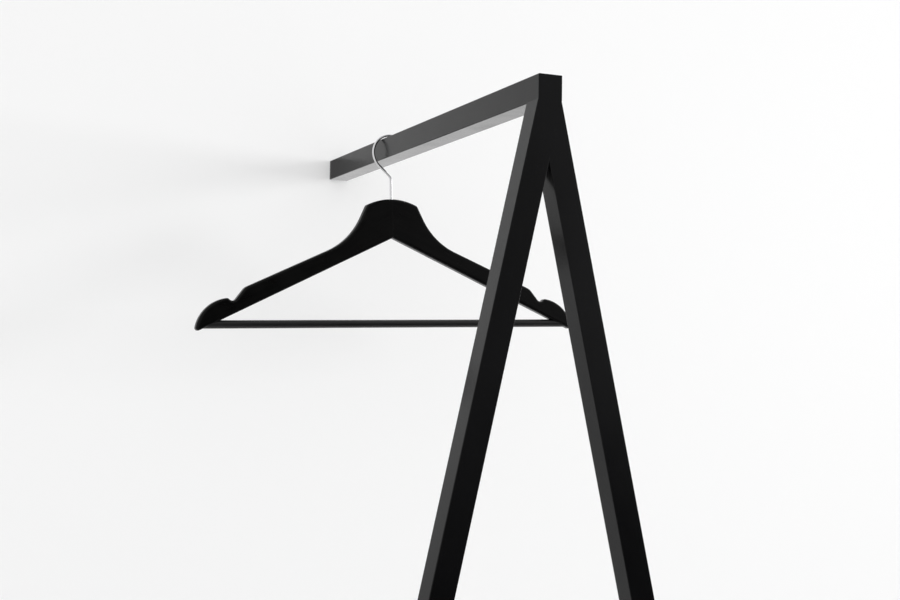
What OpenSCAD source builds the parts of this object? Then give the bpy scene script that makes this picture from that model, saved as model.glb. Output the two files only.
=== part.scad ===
// Wall-held coat stand: one square-tube rail on a splayed pair of square-tube legs,
// with a wooden hanger on a wire hook. Millimetres, +Z up, +Y towards the wall.
// The origin lies on the floor, under the middle of the rail.

/* [Stand] */
// Height of the rail's top face above the floor
stand_h = 1650; // [1500:10:1800]
// Depth from the front face of the legs to the wall
stand_d = 600; // [520:10:760]
// Angle of each leg from plumb, in degrees
leg_splay = 12.68; // [10:0.01:16]
// Height above the rail's underside where a leg's outer face meets the rail's side
leg_rise = 1; // [0.5:0.1:3]

/* [Square tube] */
// Outside width of the tube
tube_w = 25; // [22:0.5:28]
// Wall thickness of the tube
tube_t = 1.5; // [1.2:0.1:2.5]
// Outside corner radius of the tube
tube_r = 0.8; // [0.5:0.1:3]
// Thickness of the plate welded over the rail's front end
end_plate_t = 2; // [1.5:0.1:4]

/* [Wall fixing] */
// Length of the block that the rail slides over
block_len = 40; // [34:1:60]
// Clearance between the block and the inside of the rail, on each side
block_gap = 0.3; // [0.2:0.05:0.5]
// Diameter of the hole for the wall screw
wall_hole_d = 5.5; // [4.5:0.1:6.5]
// Diameter of the countersink for the wall screw's head
wall_head_d = 11; // [9:0.1:13]
// Diameter of the set screw that locks the rail to the block
set_screw_d = 5; // [4:0.5:6]
// Length of the set screw
set_screw_len = 6; // [5:0.5:7]
// Distance of the set screw from the wall
set_screw_from_wall = 20; // [12:1:26]
// Width across flats of the set screw's hexagon socket
set_screw_key = 2.5; // [2:0.5:3]

/* [Feet] */
// Thickness of the foot's sole under the leg
sole_t = 3; // [2:0.5:6]
// Height of the plug that goes up into the leg
plug_h = 18; // [12:1:30]
// Wall thickness of the plug
plug_wall = 2; // [1.5:0.1:3]
// Number of gripping fins on the plug
fin_count = 3; // [2:1:4]
// Thickness of one fin
fin_t = 1; // [0.8:0.1:1.6]
// How far the fins stand out from the plug
fin_out = 1.2; // [0.8:0.1:2]
// Clearance between the fins and the inside of the leg
fin_gap = 0.15; // [0.1:0.05:0.3]

/* [Hook] */
// Diameter of the hook's wire
wire_d = 3.2; // [2.8:0.1:4]
// Inside radius of the hook's bow
bow_r = 20; // [18:0.5:24]
// Angle where the bow ends, past the far side of the rail, in degrees
bow_tip_a = -8; // [-12:1:0]
// Angle where the bow leaves for the stem, in degrees
bow_leave_a = 227; // [220:1:235]
// Radius of the bend between the bow and the stem, at the middle of the wire
stem_bend_r = 7; // [4:0.5:10]
// Clearance between the bow and the rail's corners
hook_gap = 0.3; // [0.2:0.05:0.5]
// Distance of the hook from the front face of the legs
hook_at = 412.5; // [300:0.5:440]
// Height from the top of the hanger's head to the middle of the bow
stem_h = 56.2; // [48:0.1:70]
// How far the hanger leans in its own plane, in degrees
hang_tilt = 2; // [0:0.1:3]

/* [Swivel] */
// Outside diameter of the bush in the head
bush_d = 6; // [5.5:0.1:7]
// Length of the bush
bush_len = 18; // [14:1:22]
// Running clearance of the wire in the bush
swivel_gap = 0.08; // [0.05:0.01:0.1]
// Diameter of the upset end that carries the bush
upset_d = 5; // [4.6:0.1:5.4]
// Height of the upset end
upset_h = 2; // [1.5:0.1:3]
// Axial play of the bush on the upset end
upset_play = 0.3; // [0.2:0.1:0.6]

/* [Hanger] */
// Overall width of the hanger
hanger_w = 481; // [440:1:500]
// Thickness of the arms
arm_t = 12; // [11:0.5:16]
// Radius of the rounded edges of the arms
edge_r = 3; // [2:0.1:3.1]
// Height of the head above the underside's peak
head_h = 46.8; // [44:0.1:52]
// Radius of the head's crown
crown_r = 71; // [60:1:100]
// Width of the crown between its round corners
crown_w = 62; // [50:1:64]
// Radius of the head's round corners
crown_corner_r = 4; // [3.5:0.5:9]
// Steepness of the head's sides, in degrees
head_side_a = 64; // [56:0.5:66]
// Radius of the hollow sweep from the head's side to the arm
sweep_r = 83; // [60:1:84]
// Slope of the arm's top edge, in degrees
arm_top_a = 23.6; // [22:0.05:25]
// Slope of the arm's underside, in degrees
arm_under_a = 24.85; // [24:0.05:26]
// Depth below the crown where the two top edges would meet
arm_top_drop = 27.2; // [25:0.1:29]
// Radius of the rounded tip
nose_r = 3.2; // [3.2:0.1:5]
// Radius of the lobe between the tip and the strap notch
lobe_r = 43; // [38:1:60]

/* [Strap notch] */
// Distance of the notch from the tip
notch_from_tip = 43; // [40:0.5:50]
// Radius of the notch's floor
notch_r = 5.3; // [4.5:0.1:6.5]
// How far the notch's centre lies under the arm's top edge
notch_sink = 3.6; // [3:0.1:5]
// Slope of the notch's long flank, in degrees
flank_a = 51; // [48:1:60]
// Radius of the shoulder above the flank
shoulder_r = 14; // [5:0.5:18]
// Rise of the notch's short side, in degrees
lip_a = 47; // [35:1:50]
// Radius of the lip on the notch's short side
lip_r = 4; // [3.5:0.5:8]

/* [Trouser bar] */
// Diameter of the bar
bar_d = 9.5; // [8.5:0.1:9.8]
// Height of the bar's axis above the underside's line, at the middle of the rounded tip
bar_lift = 7.2; // [5.8:0.1:8.3]
// How far the bar's end stays inside the tip
bar_end_in = 7; // [6.5:0.1:8]
// Clearance of the bar in its sockets
socket_gap = 0.1; // [0.05:0.05:0.2]
// Diameter of the locking pins
pin_d = 1.4; // [1.2:0.1:2]
// Length of the locking pins
pin_len = 8; // [6:0.5:9]
// Distance of a pin from the tip
pin_from_tip = 12; // [11:0.5:14]
// Height of a pin above the bar's axis
pin_up = 2; // [1:0.5:2.5]

/* [Head joint] */
// Length of the tongue that joins the two arms
tongue_len = 12; // [8:1:16]
// Thickness of the tongue
tongue_t = 4; // [3:0.5:5]
// Wood left above and below the tongue
tongue_margin = 9; // [7:0.5:11]
// Glue clearance round the tongue, the bush and the pins
glue_gap = 0.1; // [0.05:0.05:0.2]

/* [Hidden] */

// Faces of a round surface, and steps along the arcs of the arm's outline
round_fn = 48;
outline_step_a = 9;
// Sides of the bent wire, its steps, and how far it stays inside the stem's round face
wire_sides = 16;
wire_step_a = 7;
wire_inset = 0.01;
// Steps of the rounded edge between an arm's face and its rim
edge_steps = 4;
// Reach of a cutting tool past the surface that it cuts
over = 1;
// Shortest way between two points of an outline
seam = 0.01;
// Smallest round inside a tube's corner
min_bore_r = 0.3;

// Stand
front_y = -stand_d / 2;
wall_y = stand_d / 2;
joint_z = stand_h - tube_w;
rail_z = stand_h - tube_w / 2;
bore_w = tube_w - 2 * tube_t;
bore_r = max(tube_r - tube_t, min_bore_r);
meet_z = joint_z + leg_rise;
leg_run = meet_z / cos(leg_splay) + tube_w;
half_span = tube_w + meet_z * tan(leg_splay) + tube_w;

// Wall fixing: clearance of the set screw in the block, and its depth under the rail's top
block_w = bore_w - 2 * block_gap;
set_screw_gap = 0.1;
set_screw_sink = 0.3;
rail_hole_d = set_screw_d + 4 * set_screw_gap;
set_screw_top = stand_h - set_screw_sink;
set_screw_hole_bottom = set_screw_top - set_screw_len - set_screw_gap;
wall_head_depth = (wall_head_d - wall_hole_d) / 2;

// Hook: the bow clears both round corners of the rail by hook_gap. The wire's tip is rounded
// in steps, at these angles from its end.
tip_round_a = [80, 50, 25];
wire_r = wire_d / 2;
bow_mid_r = bow_r + wire_r;
corner_out = tube_w / 2 - tube_r;
bow_drop = tube_r + sqrt(pow(bow_r - hook_gap - tube_r, 2) - pow(corner_out, 2));
bow_end = bow_mid_r * unit(bow_leave_a);
bend_turn = bow_leave_a - 180;
slant_len = (-stem_bend_r * (1 - cos(bend_turn)) - bow_end[0]) / cos(bow_leave_a + 90);
bend_z = bow_end[1] + slant_len * sin(bow_leave_a + 90) - stem_bend_r * sin(bend_turn);
bush_top = -stem_h - swivel_gap;
stem_bottom = bush_top - bush_len - upset_play;
head_bore_bottom = stem_bottom - upset_h - upset_play;

// Hanger outline: x outwards from the middle, y up from the top of the crown
tip_x = hanger_w / 2;
top_n = 90 - arm_top_a;
side_n = 90 - head_side_a;
flank_n = 90 - flank_a;
under_n = -90 - arm_under_a;
crown_c = [0, -crown_r];
corner_a = 90 - asin(crown_w / 2 / crown_r);
corner_c = crown_c + (crown_r - crown_corner_r) * unit(corner_a);
top_line = [0, -arm_top_drop];
sweep_corner = meet(corner_c + crown_corner_r * unit(side_n), side_n - 90, top_line, -arm_top_a);
sweep_c = sweep_corner + sweep_r / cos((top_n - side_n) / 2) * unit((top_n + side_n) / 2);
notch_x = tip_x - notch_from_tip;
notch_c = [notch_x, -arm_top_drop - notch_x * tan(arm_top_a) - notch_sink];
shoulder_corner = meet(notch_c - notch_r * unit(flank_n), flank_n - 90, top_line, -arm_top_a);
shoulder_c = shoulder_corner - shoulder_r / cos((top_n - flank_n) / 2) * unit((top_n + flank_n) / 2);
lip_c = notch_c + (notch_r + lip_r) * unit(lip_a - 90);
nose_x = tip_x - nose_r;
nose_c = [nose_x, -head_h - nose_x * tan(arm_under_a) + nose_r / cos(arm_under_a)];
lobe_c = circles_meet(nose_c, lobe_r - nose_r, lip_c, lobe_r - lip_r);
lobe_from_a = angle_of(lip_c - lobe_c);
lobe_to_a = angle_of(nose_c - lobe_c);
bar_drop = head_h + nose_x * tan(arm_under_a) - bar_lift;
bar_half = tip_x - bar_end_in;
socket_len = 28;
socket_from = bar_half - socket_len;

// Direction of an angle in the outline's plane
function unit(a) = [cos(a), sin(a)];

// Angle of a direction in the outline's plane
function angle_of(v) = atan2(v[1], v[0]);

// Point where the line through p at angle a meets the line through q at angle b
function meet(p, a, q, b) =
    let (d = q - p, s = (d[0] * sin(b) - d[1] * cos(b)) / sin(b - a))
    p + s * unit(a);

// Centre at distance r from p and at distance s from q, on the left of the way from p to q
function circles_meet(p, r, q, s) =
    let (d = norm(q - p), along = (d * d + r * r - s * s) / (2 * d), a = angle_of(q - p))
    p + along * unit(a) + sqrt(r * r - along * along) * unit(a + 90);

// Points of an arc, each with the direction that faces out of the wood
function arc(c, r, from, to, face = 1) =
    let (n = max(1, ceil(abs(to - from) / outline_step_a)))
    [for (i = [0:n]) let (a = from + (to - from) * i / n) [c + r * unit(a), face * unit(a)]];

// Edge of one arm, from the crown along the top and round the tip
function arm_edge() = concat(
    arc(crown_c, crown_r, 90, corner_a),
    [for (p = arc(corner_c, crown_corner_r, corner_a, side_n)) if (p[0][0] > crown_w / 2 + seam) p],
    arc(sweep_c, sweep_r, side_n + 180, top_n + 180, -1),
    arc(shoulder_c, shoulder_r, top_n, flank_n),
    arc(notch_c, notch_r, flank_n + 180, lip_a + 270, -1),
    [for (p = arc(lip_c, lip_r, lip_a + 90, lobe_from_a)) if (p[0][0] > lip_seam_x) p],
    [for (p = arc(lobe_c, lobe_r, lobe_from_a, lobe_to_a)) if (p[0][0] > lobe_seam_x) p],
    [for (p = arc(nose_c, nose_r, lobe_to_a, under_n)) if (p[0][1] < nose_seam_y) p]);

// Places across where a point of the top has its fellow on the underside
function under_places() = [for (p = arm_edge()) if (p[0][0] < nose_x - 2 * nose_r) p[0][0]];

// Straight underside, from the tip to the middle
function arm_underside() =
    let (places = under_places())
    [for (i = [len(places) - 1:-1:0])
        [[places[i], -head_h - places[i] * tan(arm_under_a)], [0, -1 / cos(arm_under_a)]]];

// Ends of the arcs before, left out of the arc that follows each of them
lip_seam_x = (notch_c + notch_r * unit(lip_a - 90))[0] + seam;
lobe_seam_x = (lip_c + lip_r * unit(lobe_from_a))[0] + seam;
nose_seam_y = (nose_c + nose_r * unit(lobe_to_a))[1] - seam;

// Square with round corners, centred on the origin
module rounded_square(w, r) {
    square([w, w - 2 * r], center = true);
    square([w - 2 * r, w], center = true);
    for (sx = [-1, 1], sy = [-1, 1])
        translate([sx * (w / 2 - r), sy * (w / 2 - r)]) circle(r, $fn = round_fn);
}

// Cross-section of the square tube
module tube_section() {
    difference() {
        rounded_square(tube_w, tube_r);
        rounded_square(bore_w, bore_r);
    }
}

// Puts its child, drawn along Z, along the rail's axis from y
module on_rail_axis(y) {
    translate([0, y, rail_z]) rotate([-90, 0, 0]) children();
}

// Puts its child, drawn along Z, on the right leg's axis, its outer face meeting the rail's side
module on_leg_axis() {
    translate([tube_w / 2, front_y + tube_w / 2, meet_z])
        rotate([0, -leg_splay, 0])
            translate([-tube_w / 2, 0, 0]) children();
}

// Prism of the given width and corner radius along the right leg
module leg_prism(w, r) {
    on_leg_axis() translate([0, 0, -leg_run]) linear_extrude(leg_run + tube_w) rounded_square(w, r);
}

// Level slab that trims what stands on the right leg's side of the middle
module right_slab(z0, z1) {
    translate([0, front_y - over, z0]) cube([half_span, tube_w + 2 * over, z1 - z0]);
}

// The right leg: mitred at the middle plane, coped to the rail and cut level above the sole
module leg_right() {
    color([0.07, 0.07, 0.075])
    intersection() {
        difference() {
            leg_prism(tube_w, tube_r);
            leg_prism(bore_w, bore_r);
            on_rail_axis(front_y - over) linear_extrude(tube_w + 2 * over) rounded_square(tube_w, tube_r);
        }
        right_slab(sole_t, rail_z);
    }
}

module leg_left() {
    mirror([1, 0, 0]) leg_right();
}

// Horizontal rail with the hole of the set screw in its top wall
module rail() {
    color([0.07, 0.07, 0.075])
    difference() {
        on_rail_axis(front_y + end_plate_t) linear_extrude(stand_d - end_plate_t) tube_section();
        translate([0, wall_y - set_screw_from_wall, rail_z])
            cylinder(h = tube_w, d = rail_hole_d, $fn = round_fn);
    }
}

// Plate welded over the open front end of the rail
module rail_end_plate() {
    color([0.07, 0.07, 0.075])
    on_rail_axis(front_y) linear_extrude(end_plate_t) rounded_square(tube_w, tube_r);
}

// Block screwed to the wall, inside the rail's end
module wall_block() {
    color([0.62, 0.62, 0.64])
    difference() {
        on_rail_axis(wall_y - block_len) linear_extrude(block_len) rounded_square(block_w, bore_r);
        on_rail_axis(wall_y - block_len - over)
            cylinder(h = block_len + 2 * over, d = wall_hole_d, $fn = round_fn);
        on_rail_axis(wall_y - block_len)
            cylinder(h = wall_head_depth, d1 = wall_head_d, d2 = wall_hole_d, $fn = round_fn);
        translate([0, wall_y - set_screw_from_wall, set_screw_hole_bottom])
            cylinder(h = tube_w, d = set_screw_d + 2 * set_screw_gap, $fn = round_fn);
    }
}

// Set screw in the block, its top end standing in the rail's hole
module set_screw() {
    color([0.25, 0.25, 0.27])
    translate([0, wall_y - set_screw_from_wall, set_screw_top])
    difference() {
        translate([0, 0, -set_screw_len]) cylinder(h = set_screw_len, d = set_screw_d, $fn = round_fn);
        translate([0, 0, -set_screw_len / 2])
            cylinder(h = set_screw_len, d = set_screw_key / cos(30), $fn = 6);
    }
}

// Moulded foot: a sole the size of the leg, and a hollow finned plug inside the leg
module foot_right() {
    core_w = bore_w - 2 * fin_gap - 2 * fin_out;
    fin_pitch = plug_h / (fin_count + 0.5);
    color([0.10, 0.10, 0.10])
    difference() {
        union() {
            intersection() {
                leg_prism(tube_w, tube_r);
                right_slab(0, sole_t);
            }
            intersection() {
                leg_prism(core_w, bore_r);
                right_slab(sole_t / 2, sole_t + plug_h);
            }
            for (i = [1:fin_count])
                intersection() {
                    leg_prism(bore_w - 2 * fin_gap, bore_r);
                    right_slab(sole_t + i * fin_pitch - fin_t, sole_t + i * fin_pitch);
                }
        }
        intersection() {
            leg_prism(core_w - 2 * plug_wall, bore_r);
            right_slab(sole_t, sole_t + plug_h + over);
        }
    }
}

module foot_left() {
    mirror([1, 0, 0]) foot_right();
}

// Frame of the hanger: the middle of the bow, leaning with the hanger
module on_hook() {
    translate([0, front_y + hook_at, stand_h - bow_drop]) rotate([0, -hang_tilt, 0]) children();
}

// Turns a shape drawn flat, x across and y up, into the hanger's upright plane
module upright() {
    rotate([90, 0, 0]) children();
}

// Stations along the wire, each its middle, the angle of the way ahead, and its radius:
// the rounded tip, the bow over the rail, and the bend into the stem
function wire_stations() =
    let (tip = bow_mid_r * unit(bow_tip_a), back = unit(bow_tip_a - 90), r = wire_r - wire_inset,
        bow_n = ceil((bow_leave_a - bow_tip_a) / wire_step_a),
        bend_n = ceil(bend_turn / wire_step_a))
    concat(
        [for (e = tip_round_a) [tip + r * sin(e) * back, bow_tip_a + 90, r * cos(e)]],
        [for (i = [0:bow_n]) let (a = bow_tip_a + (bow_leave_a - bow_tip_a) * i / bow_n)
            [bow_mid_r * unit(a), a + 90, r]],
        [for (i = [0:bend_n]) let (a = bend_turn * (1 - i / bend_n))
            [[-stem_bend_r, bend_z] + stem_bend_r * unit(a), a - 90, r]]);

// Bent wire: a ring of points square to the way at each station
module bent_wire() {
    stations = wire_stations();
    n = wire_sides;
    last = len(stations) - 1;
    points = [for (s = stations, k = [0:n - 1])
        let (b = 360 * k / n, q = s[0] + s[2] * cos(b) * unit(s[1] - 90)) [q[0], q[1], s[2] * sin(b)]];
    rim = [for (j = [0:last - 1], k = [0:n - 1]) let (next = (k + 1) % n)
        [j * n + next, (j + 1) * n + next, (j + 1) * n + k, j * n + k]];
    tip = [[for (k = [n - 1:-1:0]) k]];
    end = [[for (k = [0:n - 1]) last * n + k]];
    polyhedron(points, concat(tip, rim, end));
}

// Wire hook: the bent wire, the straight stem, and the upset end under the bush
module hook() {
    color([0.80, 0.80, 0.82])
    on_hook() {
        upright() bent_wire();
        translate([0, 0, stem_bottom])
            cylinder(h = bend_z - stem_bottom, r = wire_r, $fn = round_fn);
        translate([0, 0, stem_bottom - upset_h]) cylinder(h = upset_h, d = upset_d, $fn = round_fn);
    }
}

// Brass bush glued in the head, turning on the hook's stem
module hook_bush() {
    color([0.75, 0.62, 0.30])
    on_hook() translate([0, 0, bush_top - bush_len])
    difference() {
        cylinder(h = bush_len, d = bush_d, $fn = round_fn);
        translate([0, 0, -over])
            cylinder(h = bush_len + 2 * over, r = wire_r + swivel_gap, $fn = round_fn);
    }
}

// Blank of the right arm: its outline with a quarter-round edge on both faces.
// Each layer is the outline drawn in by edge_r * (1 - sin a) at the depth edge_r * (1 - cos a).
// A flat face is a row of four-sided fields between the top and the underside, and the tip's field.
module arm_blank() {
    line = concat(arm_edge(), arm_underside());
    n = len(line);
    fields = len(under_places()) - 1;
    sweep = [for (k = [0:edge_steps]) 90 * k / edge_steps];
    half = [for (a = sweep) [edge_r * (1 - sin(a)), arm_t / 2 - edge_r * (1 - cos(a))]];
    layers = concat([for (h = half) [h[0], -h[1]]], [for (k = [edge_steps:-1:0]) half[k]]);
    m = len(layers);
    points = [for (l = layers, p = line)
        let (q = p[0] - l[0] * p[1]) [q[0], l[1], q[1]]];
    rim = [for (j = [0:m - 2], i = [0:n - 2])
        [j * n + i, (j + 1) * n + i, (j + 1) * n + i + 1, j * n + i + 1]];
    front = concat([for (i = [0:fields - 1]) [i, i + 1, n - 2 - i, n - 1 - i]],
        [[for (i = [fields:n - 1 - fields]) i]]);
    back = [for (f = front) [for (i = [len(f) - 1:-1:0]) (m - 1) * n + f[i]]];
    middle = [concat([for (j = [0:m - 1]) j * n + n - 1], [for (j = [m - 1:-1:0]) j * n])];
    polyhedron(points, concat(front, rim, back, middle));
}

// Box of the tongue, grown by gap
module tongue(gap) {
    depth = head_h - 2 * tongue_margin + 2 * gap;
    translate([-tongue_len - gap, -tongue_t / 2 - gap, -head_h + tongue_margin - gap])
        cube([tongue_len + gap + over, tongue_t + 2 * gap, depth]);
}

// What is cut from both arms: the bush's bore, the bar's socket and the pin's hole
module arm_cuts() {
    translate([0, 0, head_bore_bottom + stem_h])
        cylinder(h = -head_bore_bottom, d = bush_d + 2 * glue_gap, $fn = round_fn);
    translate([socket_from, 0, -bar_drop]) rotate([0, 90, 0])
        cylinder(h = bar_half + socket_gap - socket_from, r = bar_d / 2 + socket_gap, $fn = round_fn);
    translate([tip_x - pin_from_tip, 0, pin_up - bar_drop]) pin_hole();
}

// Hole of a pin, from the back face inwards
module pin_hole() {
    translate([0, arm_t / 2 + over, 0]) rotate([90, 0, 0])
        cylinder(h = pin_len + over + glue_gap, d = pin_d + 2 * glue_gap, $fn = round_fn);
}

// Frame of the wooden parts: the top of the head's crown
module on_head() {
    on_hook() translate([0, 0, -stem_h]) children();
}

// Right arm with the tongue that enters the left one
module hanger_arm_right() {
    color([0.05, 0.05, 0.05])
    on_head() difference() {
        union() {
            arm_blank();
            tongue(0);
        }
        arm_cuts();
    }
}

// Left arm with the slot for the tongue
module hanger_arm_left() {
    color([0.05, 0.05, 0.05])
    on_head() difference() {
        mirror([1, 0, 0]) difference() {
            arm_blank();
            arm_cuts();
        }
        tongue(glue_gap);
    }
}

// Round bar let into the sloped ends of both arms
module trouser_bar() {
    color([0.06, 0.06, 0.06])
    on_head() difference() {
        translate([-bar_half, 0, -bar_drop]) rotate([0, 90, 0])
            cylinder(h = 2 * bar_half, d = bar_d, $fn = round_fn);
        for (side = [-1, 1])
            translate([side * (tip_x - pin_from_tip), 0, pin_up - bar_drop]) pin_hole();
    }
}

// Two pins through the back of the tips into the bar
module bar_pins() {
    color([0.55, 0.55, 0.57])
    on_head() for (side = [-1, 1])
        translate([side * (tip_x - pin_from_tip), arm_t / 2, pin_up - bar_drop]) rotate([90, 0, 0])
            cylinder(h = pin_len, d = pin_d, $fn = round_fn);
}

rail();
rail_end_plate();
leg_left();
leg_right();
wall_block();
set_screw();
foot_left();
foot_right();
hook();
hook_bush();
hanger_arm_left();
hanger_arm_right();
trouser_bar();
bar_pins();
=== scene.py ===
"""Looks of a wall-held coat stand with a wooden hanger on its rail.

Everything is in metres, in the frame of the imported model: the origin on the floor under the
middle of the rail, +Y towards the wall, +Z up. The tubes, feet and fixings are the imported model's
own nodes with better finishes. The wire hook, the hanger's wood and its bush are smooth surfaces
worked out here, in the places of the nodes that they stand for.
"""

from __future__ import annotations

import logging
import math
from dataclasses import dataclass
from enum import Enum

import bmesh
import bpy
import numpy as np
from mathutils import Matrix, Vector


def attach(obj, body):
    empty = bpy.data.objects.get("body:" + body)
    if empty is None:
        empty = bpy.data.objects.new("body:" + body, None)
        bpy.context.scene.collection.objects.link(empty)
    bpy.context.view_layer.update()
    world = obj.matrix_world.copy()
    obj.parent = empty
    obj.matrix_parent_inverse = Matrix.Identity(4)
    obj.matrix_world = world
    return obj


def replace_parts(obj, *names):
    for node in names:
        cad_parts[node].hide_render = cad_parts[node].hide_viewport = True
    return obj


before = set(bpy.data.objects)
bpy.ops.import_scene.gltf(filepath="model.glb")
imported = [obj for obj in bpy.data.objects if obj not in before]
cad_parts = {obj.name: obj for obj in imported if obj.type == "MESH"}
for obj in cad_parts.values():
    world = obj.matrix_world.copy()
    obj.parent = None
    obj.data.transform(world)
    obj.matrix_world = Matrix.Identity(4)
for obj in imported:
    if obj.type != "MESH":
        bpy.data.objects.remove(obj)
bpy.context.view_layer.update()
LOG = logging.getLogger("coat_stand")

MM = 0.001
SMOOTH_ANGLE = math.radians(34.0)

# Lengths in metres below which two points are one, an edge is empty and a step is a repeat
SAME_POINT = 2e-7
EMPTY_EDGE = 1e-7
REPEATED_STEP = 1e-6

# The part of a noise's range that its values fill
NOISE_MIDDLE = (0.3, 0.7)


class Side(Enum):
    """A side of the hanger, as seen when facing the wall. The value is the sign of its X."""

    LEFT = -1.0
    RIGHT = 1.0


class Ray(Enum):
    """Kinds of light path that a stage piece can be hidden from."""

    CAMERA = "visible_camera"
    GLOSSY = "visible_glossy"
    SHADOW = "visible_shadow"
    DIFFUSE = "visible_diffuse"


Triple = tuple[float, float, float]
Span = tuple[float, float]
Pair = tuple[np.ndarray, np.ndarray]


# Mesh helpers


def unit(angle: np.ndarray | float) -> np.ndarray:
    """Directions in a plane: the cosine and the sine of each angle.

    Args:
        angle: one angle or an array of angles, in degrees.

    Returns:
        The directions, along a last axis of 2.
    """
    radians = np.radians(angle)
    return np.stack([np.cos(radians), np.sin(radians)], axis=-1)


def arc(
    centre: np.ndarray, radius: float, start: float, stop: float, step: float, facing: float = 1.0
) -> Pair:
    """Points of an arc, with the directions that face out of the wood.

    A point is the middle plus the radius times the direction of its angle.

    Args:
        centre: middle of the arc.
        radius: its radius.
        start: first angle, in degrees.
        stop: last angle, in degrees.
        step: widest step between two angles, in degrees.
        facing: 1 on a bulge and -1 in a hollow.

    Returns:
        The points and the directions, each n by 2.
    """
    count = max(2, math.ceil(abs(stop - start) / step) + 1)
    direction = unit(np.linspace(start, stop, count))
    return centre + radius * direction, facing * direction


def meet(p: np.ndarray, a: float, q: np.ndarray, b: float) -> np.ndarray:
    """Point where the line through p at angle a meets the line through q at angle b.

    With d the way from p to q, the first line is followed for (dx sin b - dy cos b) / sin(b - a).

    Args:
        p: a point of the first line.
        a: the first line's angle, in degrees.
        q: a point of the second line.
        b: the second line's angle, in degrees.

    Returns:
        The point.
    """
    d = q - p
    ra, rb = math.radians(a), math.radians(b)
    way = (d[0] * math.sin(rb) - d[1] * math.cos(rb)) / math.sin(rb - ra)
    return p + way * unit(a)


def fillet_middle(at: np.ndarray, radius: float, a: float, b: float) -> np.ndarray:
    """Middle of an arc that touches two lines.

    It lies the radius over the cosine of half the turn away from where the lines meet, in the
    direction half-way between their normals.

    Args:
        at: where the lines meet.
        radius: the arc's radius, negative when its middle lies against the normals.
        a: angle of the first line's normal, in degrees.
        b: angle of the second line's normal, in degrees.

    Returns:
        The middle.
    """
    return at + radius / math.cos(math.radians((a - b) / 2)) * unit((a + b) / 2)


def circles_meet(p: np.ndarray, r: float, q: np.ndarray, s: float) -> np.ndarray:
    """Point at distance r from p and s from q, on the left of the way from p to q.

    With d the distance from p to q, its place along the way is (d^2 + r^2 - s^2) / 2d, and its
    height is the root of r^2 less the square of that place.

    Args:
        p: the first middle.
        r: the distance from it.
        q: the second middle.
        s: the distance from that.

    Returns:
        The point.
    """
    d = float(np.linalg.norm(q - p))
    along = (d * d + r * r - s * s) / (2 * d)
    heading = (q - p) / d
    left = np.array([-heading[1], heading[0]])
    return p + along * heading + math.sqrt(r * r - along * along) * left


def angle_of(v: np.ndarray) -> float:
    """Angle of a direction in its plane, in degrees."""
    return math.degrees(math.atan2(v[1], v[0]))


def refine(points: np.ndarray, facing: np.ndarray, longest: float) -> Pair:
    """Adds points along the long segments of a path, and drops points that repeat.

    A segment gets the fewest equal parts that are no longer than the longest; place and direction
    run evenly from its one end to the other.

    Args:
        points: the path, n by 2.
        facing: a direction at each point, n by 2.
        longest: longest segment that stays whole.

    Returns:
        The refined path and its directions.
    """
    length = np.linalg.norm(np.diff(points, axis=0), axis=1)
    keep = np.r_[True, length > REPEATED_STEP]
    points, facing = points[keep], facing[keep]
    length = np.linalg.norm(np.diff(points, axis=0), axis=1)
    parts = np.maximum(1, np.ceil(length / longest)).astype(int)
    segment = np.repeat(np.arange(len(parts)), parts)
    within = np.arange(parts.sum()) - np.repeat(np.cumsum(parts) - parts, parts)
    t = (within / parts[segment])[:, None]
    fine = points[segment] * (1 - t) + points[segment + 1] * t
    face = facing[segment] * (1 - t) + facing[segment + 1] * t
    return np.r_[fine, points[-1:]], np.r_[face, facing[-1:]]


def resample(points: np.ndarray, count: int) -> np.ndarray:
    """Spaces points evenly along a path, by its length.

    Args:
        points: the path, n by 2.
        count: how many points to give back.

    Returns:
        The points, with both ends of the path.
    """
    length = np.r_[0, np.cumsum(np.linalg.norm(np.diff(points, axis=0), axis=1))]
    want = np.linspace(0, length[-1], count)
    return np.stack([np.interp(want, length, column) for column in points.T], axis=1)


def grid_faces(rows: int, columns: int, close_rows: bool = False) -> np.ndarray:
    """Four-sided faces of a grid of points that is closed along its columns.

    Args:
        rows: number of rings.
        columns: number of points in a ring.
        close_rows: whether the last ring joins the first.

    Returns:
        An array of faces, each four indices.
    """
    last = rows if close_rows else rows - 1
    i, j = (k.ravel() for k in np.meshgrid(np.arange(last), np.arange(columns), indexing="ij"))
    ahead, right = (i + 1) % rows, (j + 1) % columns
    here, there = i * columns, ahead * columns
    return np.stack([here + j, here + right, there + right, there + j], axis=1)


def mesh_object(name: str, points: np.ndarray, faces: list[list[int]]) -> bpy.types.Object:
    """Makes a smooth mesh object with its doubled points merged and its faces turned outwards.

    Args:
        name: the piece's name.
        points: its vertices, n by 3, in metres.
        faces: index lists.

    Returns:
        The linked object, at the origin.
    """
    mesh = bpy.data.meshes.new(name)
    mesh.from_pydata(points.tolist(), [], faces)
    obj = bpy.data.objects.new(name, mesh)
    bpy.context.scene.collection.objects.link(obj)
    close_up(mesh)
    return obj


def close_up(mesh: bpy.types.Mesh) -> None:
    """Merges doubled points, drops empty faces, turns the faces outwards and shades smoothly.

    Args:
        mesh: the mesh, which is changed in place.
    """
    work = bmesh.new()
    work.from_mesh(mesh)
    bmesh.ops.remove_doubles(work, verts=work.verts, dist=SAME_POINT)
    bmesh.ops.dissolve_degenerate(work, edges=work.edges, dist=EMPTY_EDGE)
    bmesh.ops.recalc_face_normals(work, faces=work.faces)
    work.to_mesh(mesh)
    work.free()
    mesh.shade_smooth()
    mesh.set_sharp_from_angle(angle=SMOOTH_ANGLE)


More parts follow.
